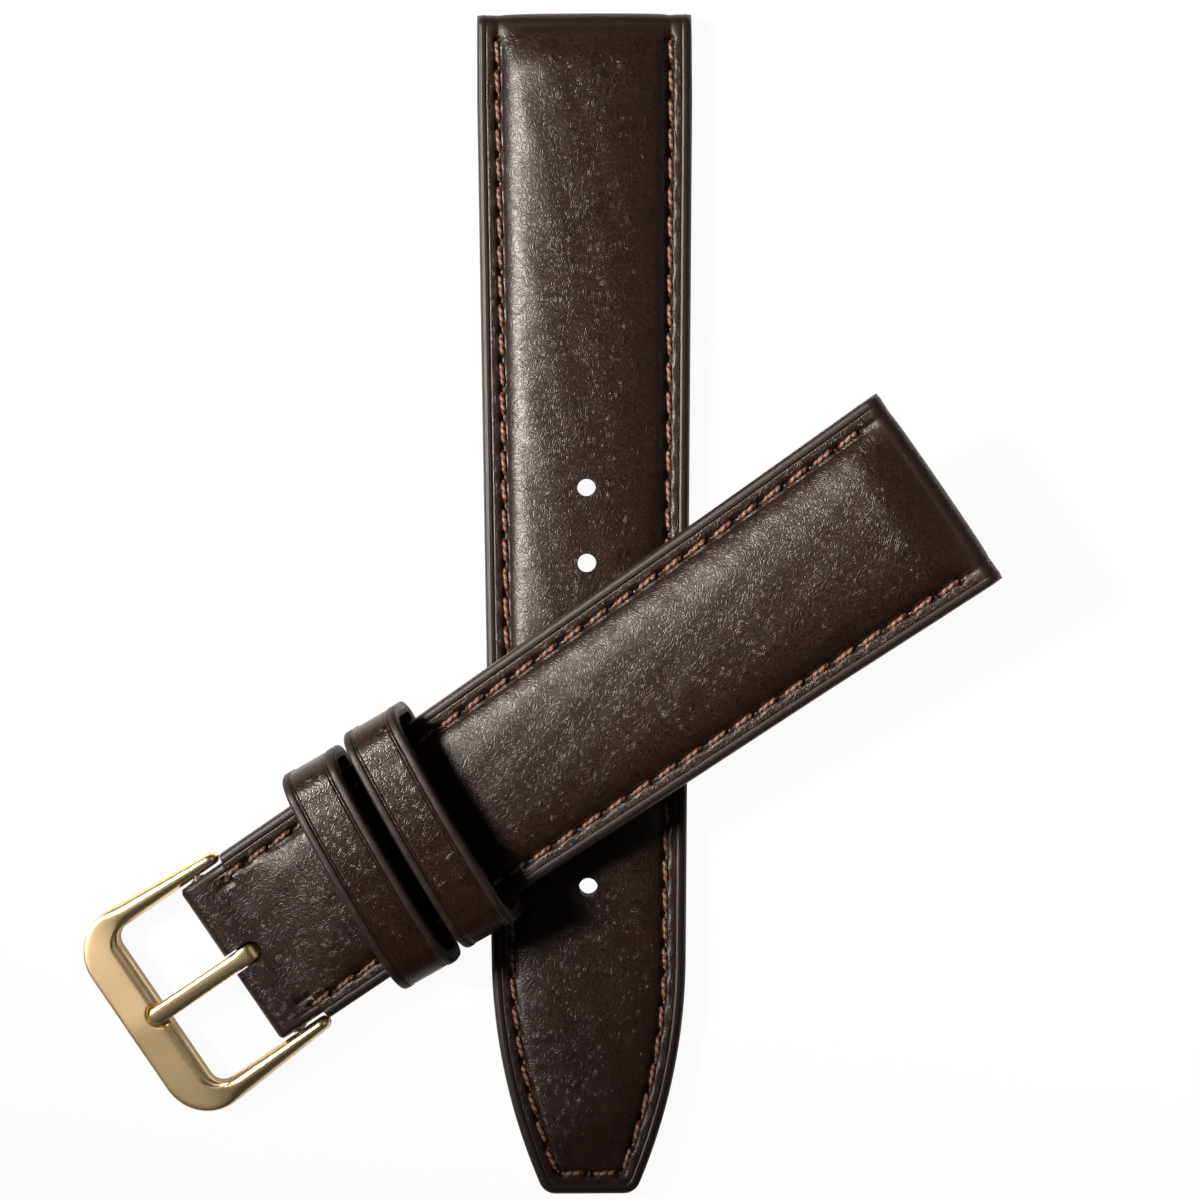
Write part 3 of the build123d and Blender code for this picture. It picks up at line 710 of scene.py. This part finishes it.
def make_leather(half, x, theta, ways, cutters):
    """The top leather of a half, as one closed shell.

    Each row has a centre at half height and a way up, which turns through a quarter circle round each nose. A
    point of the top stands half the edge's height plus the pad's height minus the edge's drop away from the centre.
    """
    half_height = edge_height / 2
    y = across_columns(half.width(x) - side_bulge)
    columns = y.shape[1]
    lug = x[-1] + half_height
    along = np.repeat(x[:, None], columns, 1)
    inset = half.depth(along, y) - side_bulge
    worked = smooth_step(lug - along, *lug_line_fade)
    if theta[0] > 1:
        worked = worked * smooth_step(along, *fold_line_fade)
    drop = edge_drop(inset, worked) + needle_hole_depth * hole_dents(along, y, half.holes, inset)
    height = half_height + half.pad(along, y, inset) - drop
    up = stack(ways * np.sin(theta), np.cos(theta))
    top = stack(x[:, None] + height * up[:, :1], y, half_height + height * up[:, 1:])
    paint = 1 - smooth_step(inset, crease_inset - paint_blend_in, crease_inset + paint_blend_out)
    # Painted shade: near the lug end the top takes part of the edge paint, darker and with little grain, for the shade
    # of the roll as it curves down.
    rolled = smooth_step(along, lug - roll_reach, lug - roll_full_reach)
    paint = np.maximum(paint, roll_painted_shade_share * rolled)

    base = half_height - half.underside(x)
    foot_x = (x + base * up[:, 0])[:, None]
    foot_z = (half_height - base * up[:, 1])[:, None]
    steps = np.linspace(0, 1, 7)[1:]
    inner = [columns - 1 - k for k in (6, 18, 32, columns // 2, columns - 33, columns - 19, columns - 7)]
    joined = [columns - 1] * len(steps) + inner + [0] * len(steps)

    def foot(which):
        """The underside's points below the given columns."""
        each = np.ones((1, len(which)))
        return stack(foot_x * each, y[:, which], foot_z * each)

    def wall(column, side):
        """Points down a side wall, which swells by a sine."""
        edge = top[:, column][:, None]
        points = edge + (foot([column]) - edge) * steps[None, :, None]
        points[..., 1] += side * side_bulge * np.sin(np.pi * steps)[None] * np.cos(theta)[:, None]
        return points

    lower = np.concatenate([wall(-1, -1), foot(inner), wall(0, 1)[:, ::-1]], 1)
    lower_paint = np.zeros(lower.shape[:2])
    lower_paint[:, :len(steps)] = 1
    lower_paint[:, -len(steps):] = 1
    nosed, paints = (theta[0] > 1, theta[-1] > 1), (paint, lower_paint)
    piece = make_shell(half, "top", top, lower, joined, nosed, paints, leather, "upper", "grained_leather", cutters)


def make_lining(half, x, level, cutters):
    """The leather underneath, as one closed shell: a flat skin with a rounded edge and the seam's trough."""
    y = across_columns(half.width(x) - side_bulge)
    along = np.repeat(x[:, None], y.shape[1], 1)
    inset = half.depth(along, y) - side_bulge
    inside = np.clip(underside_round - inset, 0, underside_round)
    round_off = underside_round - np.sqrt(underside_round ** 2 - inside ** 2)
    trough = under_groove_depth * dent(inset - stitch_inset, groove_width)
    dents = under_groove_depth * hole_dents(along, y, half.holes, inset)
    skin = stack(along, y, level + round_off + trough + dents)
    edge = stack(x, y[:, 0], np.full(len(x), lining_thickness))
    walls = [skin[:, -1] * (1 - s) + edge * [1, -1, 1] * s for s in (0.5, 1.0)]
    walls += [skin[:, 0] * (1 - s) + edge * s for s in (1.0, 0.5)]
    lower = np.stack(walls, 1)
    paints = (inset < lining_paint_width, np.ones(lower.shape[:2]))
    make_shell(half, "under", skin, lower, [], (False, False), paints, lining, "lining", "lining_leather", cutters)


def circle(radius, across, up, count=40):
    """Points round a circle in the plane of two directions."""
    turn = np.arange(count)[:, None] / count * 2 * np.pi
    return radius * (np.cos(turn) * across + np.sin(turn) * up)


def add_noses(main, fold):
    """Places along a half and each row's turn and way: main, then 12 rows round the lug end's nose.

    Their turns go from just past 0 to a quarter. If fold is true, 12 rows turn round the first end as well.
    """
    turn = np.linspace(0, math.pi / 2, 13)[1:]
    start = turn[::-1] if fold else turn[:0]
    x = chain(np.full(len(start), main[0]), main, np.full(len(turn), main[-1]))
    ways = np.where(np.arange(len(x)) < len(start), -1.0, 1.0)
    return x, chain(start, np.zeros(len(main)), turn), ways


def crown(x, stations):
    """Height of the pad over the edge at x, eased between its stations."""
    places, heights = zip(*stations)
    return np.interp(x, places, heights) - edge_height


def pad_and_sway(x, inset, share, start, ramp, lug, crowns, waves):
    """A pad's height: crown times its share across, times its share at both ends, plus the sway."""
    ends = end_share(x - start, ramp) * end_share(lug - pad_lug_gap - x, pad_lug_ramp)
    return crown(x, crowns) * (share * ends) + waves * smooth_step(inset, *sway_fade) * (x < lug - sway_end_gap)


def long_pad(x, y, inset):
    """The long half's pad, whose share across follows the taper."""
    width = long_width(x)
    share = pad_share((width - np.abs(y)) / side_scale, width)
    return pad_and_sway(x, inset, share, long_pad_start, long_pad_start_ramp, long_lug, long_crowns, sway(x, y))


def short_pad(x, y, inset):
    """The short half's pad, with the leather drawn in behind the spring bar."""
    share, waves = pad_share(inset, short_width(x)), sway(x, y + 5) * (x > 1)
    pad = pad_and_sway(x, inset, share, short_pad_start, short_pad_start_ramp, short_lug, short_crowns, waves)
    return pad - fold_dip * dent(x - fold_dip_reach, fold_dip_width)


def long_underside(x):
    """How high the long half's top leather starts: on its lining, and at 0 where it is turned under."""
    return np.where(x < long_lug - flap_length, lining_thickness, 0.0)


def short_underside(x):
    """How high the short half's top leather starts: on its lining, and a little up where it is turned under."""
    return np.where((x > fixed_keeper_reach) & (x < short_lug - flap_length), lining_thickness, short_lift)


def dress_long_half():
    """The long half's leather, lining and stitches."""
    nose, flap = long_lug - edge_height / 2, long_lug - flap_length
    main = spaced(
        tip, (tip + 0.1, 3), (tip + 0.6, 8), (tip + 4.5, 44), (tip_shoulder, 60), (flap - flap_step, 262),
        (flap, 1), (nose, 40),
    )
    spots = long_seam()
    half = Half("long", place_long, long_width, long_depth, long_pad, long_underside, needle_holes(spots))
    places = [tip + first_hole_from_tip + i * hole_pitch for i in range(hole_count - 1)]
    places.append(places[-1] + last_hole_pitch)
    right, ahead, up = np.eye(3)
    ring = circle(hole_radius, right, ahead)
    punched = [(ring + place * ahead, cut_low * up, hole_cut_high * up) for place in places]
    bore = circle(tunnel_radius, ahead, up) + [0, nose, bar_height]
    tunnel = (bore, -lug_width * right, lug_width * right)
    make_leather(half, *add_noses(main, False), punched + [tunnel])
    rows = spaced(tip, (tip + 0.3, 4), (tip + 4.5, 20), (tip_shoulder, 30), (flap - lining_step, 150))
    make_lining(half, rows, 0.0, punched)
    sew(half, spots, spots, 0.0)


def dress_short_half():
    """The short half's leather, lining and stitches."""
    nose, fold_nose = short_lug - edge_height / 2, edge_height / 2 - fold_reach
    flap = short_lug - flap_length
    main = spaced(
        fold_nose, (fold_step - fold_step_run, 36), (fold_step, 4), (6.0, 26), (fixed_keeper_reach, 32),
        (fixed_keeper_reach + flap_step, 1), (flap - flap_step, 180), (flap, 1), (nose, 40),
    )
    spots = short_seam_spots()
    half = Half("short", place_short, short_width, short_depth, short_pad, short_underside, needle_holes(spots))
    ring = circle(tunnel_radius, along_short, above_short)
    reach = lug_width * across_short
    cutters = [(place_short(np.array([place, 0, bar_height])) + ring, -reach, reach) for place in (nose, 0.0)]
    turn = np.linspace(-math.pi / 2, math.pi / 2, 20)
    side = slot_width / 2
    slot = stack(slot_reach - side + side * np.cos(turn), side * np.sin(turn), 0 * turn)
    slot = chain(slot, [[slot_cut_end, side, 0], [slot_cut_end, -side, 0]])
    cutters.append((place_short(slot), cut_low * above_short, slot_cut_high * above_short))
    make_leather(half, *add_noses(main, True), cutters)
    make_lining(half, spaced(fixed_keeper_reach, (flap - lining_step, 170)), short_lift, [])
    clear = np.abs(spots[:, 0] - fixed_keeper_reach) > keeper_width / 2 + keeper_stitch_gap
    sew(half, spots, spots[clear], short_lift)


# Keepers


def keeper_path(foot):
    """Points and outward normals round a keeper's section, from the middle of its foot and back to it.

    It is a flat foot, a round corner, a straight side, a larger round corner and a shallow arch, mirrored.
    """
    side = keeper_half_width
    arch = (side ** 2 + keeper_arch_rise ** 2) / (2 * keeper_arch_rise)
    arch_z = keeper_top - arch
    low_y, low_z = side - keeper_bottom_radius, foot + keeper_bottom_radius
    high_y = side - keeper_top_radius
    high_z = arch_z + math.sqrt((arch - keeper_top_radius) ** 2 - high_y ** 2)
    lean = math.atan2(high_z - arch_z, high_y)

    def arc(centre, radius, start, stop, count):
        turn = np.linspace(start, stop, count)
        way = stack(np.cos(turn), np.sin(turn))
        return np.array(centre) + radius * way, way

    foot_y = np.linspace(0, low_y, 14)[:-1]
    flat = stack(foot_y, np.full(len(foot_y), foot))
    side_z = np.linspace(low_z, high_z, 12)[1:-1]
    wall = stack(np.full(len(side_z), side), side_z)
    pieces = [
        (flat, np.tile([0.0, -1.0], (len(flat), 1))),
        arc((low_y, low_z), keeper_bottom_radius, -math.pi / 2, 0, 12),
        (wall, np.tile([1.0, 0.0], (len(wall), 1))),
        arc((high_y, high_z), keeper_top_radius, 0, lean, 18),
        arc((0, arch_z), arch, lean, math.pi / 2, 34),
    ]
    pieces[-1] = (pieces[-1][0][1:], pieces[-1][1][1:])
    points, normals = (np.concatenate([piece[k] for piece in pieces]) for k in (0, 1))
    mirror = np.array([-1.0, 1.0])
    return (chain(points, (points * mirror)[-2:0:-1]), chain(normals, (normals * mirror)[-2:0:-1]))


def band_profile():
    """The keeper's outer leather cut across: places along its width and heights over its face, round once.

    The painted edges are rounded, a crease ends the paint, a fine raised line follows, and the middle is flat.
    """
    half = keeper_width / 2
    inset = spaced(0, (0.35, 6), (1.25, 18), (half, 8))
    inside = np.clip(keeper_bead - inset, 0, keeper_bead)
    drop = keeper_bead - np.sqrt(keeper_bead ** 2 - inside ** 2)
    drop += 0.11 * dent(inset - 0.86, 0.07) + 0.05 * dent(inset - 1.1, 0.05) - 0.03 * dent(inset - 0.5, 0.25)
    drop += 0.05 * smooth_step(inset, 0.86, 1.0)
    place = half - inset
    face = chain(stack(place, -drop), stack(-place, -drop)[-2::-1])
    back_place = np.linspace(-half + 0.1, half - 0.1, 5)
    back = stack(back_place, np.full(5, -keeper_leather))
    paint = 1 - smooth_step(inset, 0.8, 0.92)
    paints = chain(paint, paint[-2::-1], np.ones(5))
    return chain(face, back), paints


def lining_profile():
    """The keeper's lining cut across: a flat band whose edges lie a little inside the outer leather's."""
    half = keeper_width / 2 - 0.12
    places = np.linspace(half, -half, 7)
    face = stack(places, np.full(7, -keeper_leather))
    ease = np.array([0.12, 0.02, 0, 0, 0, 0.02, 0.12])
    back = stack(-places, -keeper_leather - keeper_lining + ease)
    return chain(face, back), np.zeros(14)


def make_keeper(name, reach, foot, profile, paints, material, body, replaced, slot):
    """A keeper's band: its profile carried round its section, turned a little off square to the strap."""
    path, normals = keeper_path(foot)
    stretch = sway(path[:, 0] * 1.3, path[:, 1] * 2.1 + reach)[:, None]
    height = profile[None, :, 1] + 0.8 * stretch
    section_y = path[:, :1] + normals[:, :1] * height
    section_z = path[:, 1:] + normals[:, 1:] * height
    along = np.repeat(profile[None, :, 0], len(path), 0)
    x = reach + along * math.cos(keeper_turn) + section_y * math.sin(keeper_turn)
    y = keeper_shift - along * math.sin(keeper_turn) + section_y * math.cos(keeper_turn)
    points = stack(x, y, section_z)
    rows, columns = points.shape[:2]
    make_piece(
        name, place_short(points.reshape(-1, 3)), grid_quads(rows, columns, row_wrap=True, column_wrap=True),
        material, body, replaced, slot, paint=np.tile(paints, rows), sharp=50.0,
    )


def dress_keepers():
    """Both keepers, each an outer leather and a lining."""
    layers = (
        ("band", "outer", *band_profile(), keeper_calf, "grained_leather"),
        ("back", "lining", *lining_profile(), lining, "lining_leather"),
    )
    for name, reach, foot, body in (
        ("fixed", fixed_keeper_reach, fixed_keeper_foot, "short_half"),
        ("free", free_keeper_reach, free_keeper_foot, "free_keeper"),
    ):
        for layer, node, profile, paints, material, slot in layers:
            make_keeper(
                f"{name}_keeper_{layer}", reach, foot, profile, paints, material, body, f"{name}_keeper_{node}", slot
            )


# Buckle


def frame_outlines():
    """Matched points (x, y) along the frame's outer and inner outlines, from one tip round the front to the other.

    Both run straight from the tip, round their corner by an arc of even angles and along the front bar.
    """
    turn = np.linspace(0, math.pi / 2, 27)
    share = np.linspace(0, 1, 34)[:-1] ** 1.6
    far = spaced(1, (0.45, 14), (0.0, 22))[1:]

    def outline(tip_half, half, radius, corner_x, bend_x, bar_x):
        """One outline, made from its half: the arm, the corner and the front bar up to the middle."""
        arm = [frame_tip + (bend_x - frame_tip) * share, tip_half + (half - tip_half) * share]
        arc = [corner_x - radius * np.sin(turn), half - radius + radius * np.cos(turn)]
        bar = [np.full(len(far), bar_x), (half - radius) * far]
        points = np.concatenate([arm, arc, bar], 1).T
        return chain(points, (points * [1.0, -1.0])[-2::-1])

    bar_inner, corner_x = frame_bar_width - frame_front, frame_corner - frame_front
    inner_x = bar_inner + frame_inner_round
    return (
        outline(frame_tip_half, frame_front_half, frame_corner, corner_x, corner_x + frame_corner_run, -frame_front),
        outline(frame_opening_half, frame_opening_half, frame_inner_round, inner_x, inner_x, bar_inner),
    )


def frame_section(bar):
    """The frame's section as (share from the inner to the outer outline, height from -1 to 1), round once.

    An arm's section is a superellipse of power 2.4. The front bar's top is flat, with a rounded outer edge and a
    bright step along the inner one. bar is 0 on the arms and 1 on the front bar, one value for each row.
    """
    eased = (1 + np.cos(np.linspace(0, np.pi, 45))) / 2
    share = chain(eased, eased[::-2][1:-1])[None]
    side = np.where(np.arange(share.size) < len(eased), 1, -1)[None]
    power = 2.4 + 5 * bar[:, None]
    height = side * np.clip(1 - np.abs(2 * share - 1) ** power, 0, 1) ** (1 / power)
    step = 0.24 * bar[:, None] * (1 - smooth_step(share, 0.16, 0.2)) * (side > 0) * (share > 0)
    return np.broadcast_to(share, height.shape), height - step * np.clip(height * 2, 0, 1)


def dress_frame():
    """The buckle's frame: its section carried along the two outlines, with the notch and the pin holes.

    Towards a tip the section thins by a quarter circle, as the tip is a half round from the side. The notch lowers
    the top by its depth within its half width of the tongue's line, with an edge eased over 0.16 mm.
    """
    outer, inner = frame_outlines()
    middle = (outer + inner) / 2
    bar = smooth_step(-middle[:, 0], *bar_blend)
    share, height = frame_section(bar)
    ending = np.clip((middle[:, :1] - frame_tip + frame_tip_run) / frame_tip_run, 0, 1)
    share = 0.5 + (share - 0.5) * np.sqrt(np.clip(1 - ending ** 2, 0.01, 1))
    plan = inner[:, None] + (outer - inner)[:, None] * share[..., None]
    half = frame_thickness / 2
    past = np.clip((middle[:, 0] - (frame_tip - half)) / half, 0, 1)
    thin = np.sqrt(np.clip(1 - past ** 2, 0.0036, 1))
    swell = 0.06 * dent(middle[:, 1], 2.2) * bar
    z = bar_height + half * (thin + swell)[:, None] * height
    x, y = plan[..., 0], plan[..., 1]
    reach = np.hypot(np.maximum(-notch_end - x, 0), y)
    notch = 1 - smooth_step(reach, notch_half - notch_ease_in, notch_half + notch_ease_out)
    floor_level = bar_height + half - notch_depth
    top = (z > bar_height) & (x < notch_area)
    z = np.where(top, z - notch * np.maximum(z - floor_level, 0), z)
    points = stack(x, y, z)
    piece = make_piece(
        "buckle_frame_plated", place_short(points.reshape(-1, 3)), tube_faces(*x.shape), gold, "buckle_frame",
        "buckle_frame", "pale_gold", sharp=60.0,
    )
    start = place_short(np.array([0, 0, bar_height])) + circle(pin_hole_radius, along_short, above_short)
    near, far = ((frame_opening_half + step) * across_short for step in (-pin_cut_in, pin_cut_out))
    cut_away(piece, [(start, near, far), (start, -far, -near)], gold, 60.0)


def dress_tongue():
    """The buckle's tongue: a bar bent round the spring bar's tube, then straight to the frame's notch.

    Each row joins a point of the outer line to one of the inner line by a superellipse of power 3.4. The lines are
    two circles round the tube, then two straights that draw together towards the tip, whose plan is a half circle.
    """
    bore, outside = tongue_bore, tongue_bore + tongue_wall
    bend = np.linspace(math.radians(-165), math.pi / 2, 34)
    run = spaced(0, (0.8, 10), (tongue_reach - tongue_half, 26))[1:]
    end = tongue_reach - tongue_half * (1 - np.sin(np.linspace(0, math.pi / 2, 12)[1:]))
    x = -chain(run, end)
    seat = bar_height + frame_thickness / 2 - notch_depth + tongue_seat_gap
    high = np.interp(-x, [0, tongue_reach], [bar_height + outside, seat + tongue_tip_thickness])
    low = np.interp(
        -x, [0, frame_front - frame_bar_width, tongue_reach],
        [bar_height + outside - tongue_root_thickness, seat, seat],
    )
    tube = bar_height + np.sqrt(np.clip(bore ** 2 - x ** 2, 0, None))
    low = np.where(-x < bore, np.maximum(low, tube), low)
    ring = stack(np.cos(bend), np.sin(bend))
    over, under = (chain([0, bar_height] + radius * ring, stack(x, z)) for radius, z in ((outside, high), (bore, low)))
    beyond = np.clip(-over[:, 0] - (tongue_reach - tongue_half), 0, tongue_half)
    half = np.sqrt(np.clip(tongue_half ** 2 - beyond ** 2, 0.01, None))
    droop = 1 - tongue_droop * (beyond / tongue_half) ** 3
    turn = np.linspace(0, 2 * np.pi, 28, endpoint=False)
    across, rise = (np.sign(way) * np.abs(way) ** (2 / tongue_power) for way in (np.cos(turn), np.sin(turn)))
    height = (1 + rise * droop[:, None]) / 2
    line = under[:, None] + (over - under)[:, None] * height[..., None]
    points = stack(line[..., 0], half[:, None] * across, line[..., 1])
    make_piece(
        "buckle_tongue_plated", place_short(points.reshape(-1, 3)), tube_faces(*points.shape[:2]), tongue_gold,
        "buckle_tongue", "buckle_tongue", "pale_gold", sharp=60.0,
    )


for dress in (dress_long_half, dress_short_half, dress_keepers, dress_frame, dress_tongue):
    dress()
for material, names in (
    (fibre_board, ("long_padding", "short_padding", "long_reinforcement", "short_reinforcement")),
    (steel, ("spring_bar_tube", "spring_bar_spring", "spring_bar_pin_left", "spring_bar_pin_right")),
):
    for name in names:
        carried = frame["nodes"][name].data.materials
        carried.clear()
        carried.append(material)


# Floor, light and camera


def white_floor():
    """A sheet of white paper, matt, well past the object on all sides."""
    material, put, shader = new_material("white_paper_floor")
    fill(shader, {"Base Color": linear("#f7f7f7"), "Roughness": 0.9, "Specular IOR Level": 0.0})
    glow = put("Emission", {"Color": linear("#ffffff"), "Strength": 1.0})
    seen = put("LightPath").outputs
    mirrored = put("Math", {0: seen["Is Glossy Ray"], 1: 0.2}, operation="MULTIPLY")
    share = put("Math", {0: seen["Is Camera Ray"], 1: 0.95, 2: mirrored}, operation="MULTIPLY_ADD")
    fill(material.node_tree.nodes["Material Output"], {"Surface": put("MixShader", {"Fac": share, 1: shader, 2: glow})})
    size, level = 1500, -0.01
    corners = np.array([(-size, -size, level), (size, -size, level), (size, size, level), (-size, size, level)])
    mesh = new_mesh("floor", corners, [(0, 1, 2, 3)])
    mesh.materials.append(material)
    link("floor", mesh)


def studio_world():
    """A plain room: pale at the horizon and dimmer overhead, the same all round."""
    world = bpy.data.worlds.new("studio")
    world.use_nodes = True
    world.node_tree.nodes.clear()
    put = partial(add, world.node_tree)
    height = put("SeparateXYZ", {"Vector": put("TexCoord").outputs["Generated"]}).outputs["Z"]
    rise = {"Value": height, "From Min": 0.1, "From Max": 0.9, "To Min": 0.11, "To Max": 0.025}
    glow = put("Background", {"Strength": put("MapRange", rise)})
    put("OutputWorld", {"Surface": glow})
    bpy.context.scene.world = world


def softbox(name, place, aim, size, power, spread):
    """A soft light with a grid that keeps it within the spread, aimed at a point of the floor."""
    lamp = bpy.data.lights.new(name, "AREA")
    lamp.shape = "RECTANGLE"
    lamp.size, lamp.size_y = size
    lamp.energy = power
    lamp.color = linear("#fff6ee")[:3]
    lamp.spread = math.radians(spread)
    light = link(name, lamp)
    light.location = place
    light.rotation_mode = "QUATERNION"
    light.rotation_quaternion = (light.location - Vector(aim)).to_track_quat("Z", "Y")


def camera():
    """The photograph's view: from straight above, turned a quarter degree."""
    data = bpy.data.cameras.new("camera")
    data.sensor_width, data.lens, data.clip_start = 36.0, 89.1, 0.01
    eye = link("camera", data)
    eye.location = (0.00121, 0.0003, 0.2776)
    eye.rotation_euler = (0, 0, math.radians(-0.27))
    bpy.context.scene.camera = eye


white_floor()
studio_world()
softbox("key", (-0.27, 0.055, 0.20), (-0.06, 0.03, 0), (0.12, 0.52), 0.65, 22)
softbox("fill", (0.30, 0.12, 0.45), (0, 0, 0), (0.3, 0.3), 0.12, 180)
camera()
bpy.context.scene.view_settings.view_transform = "Standard"
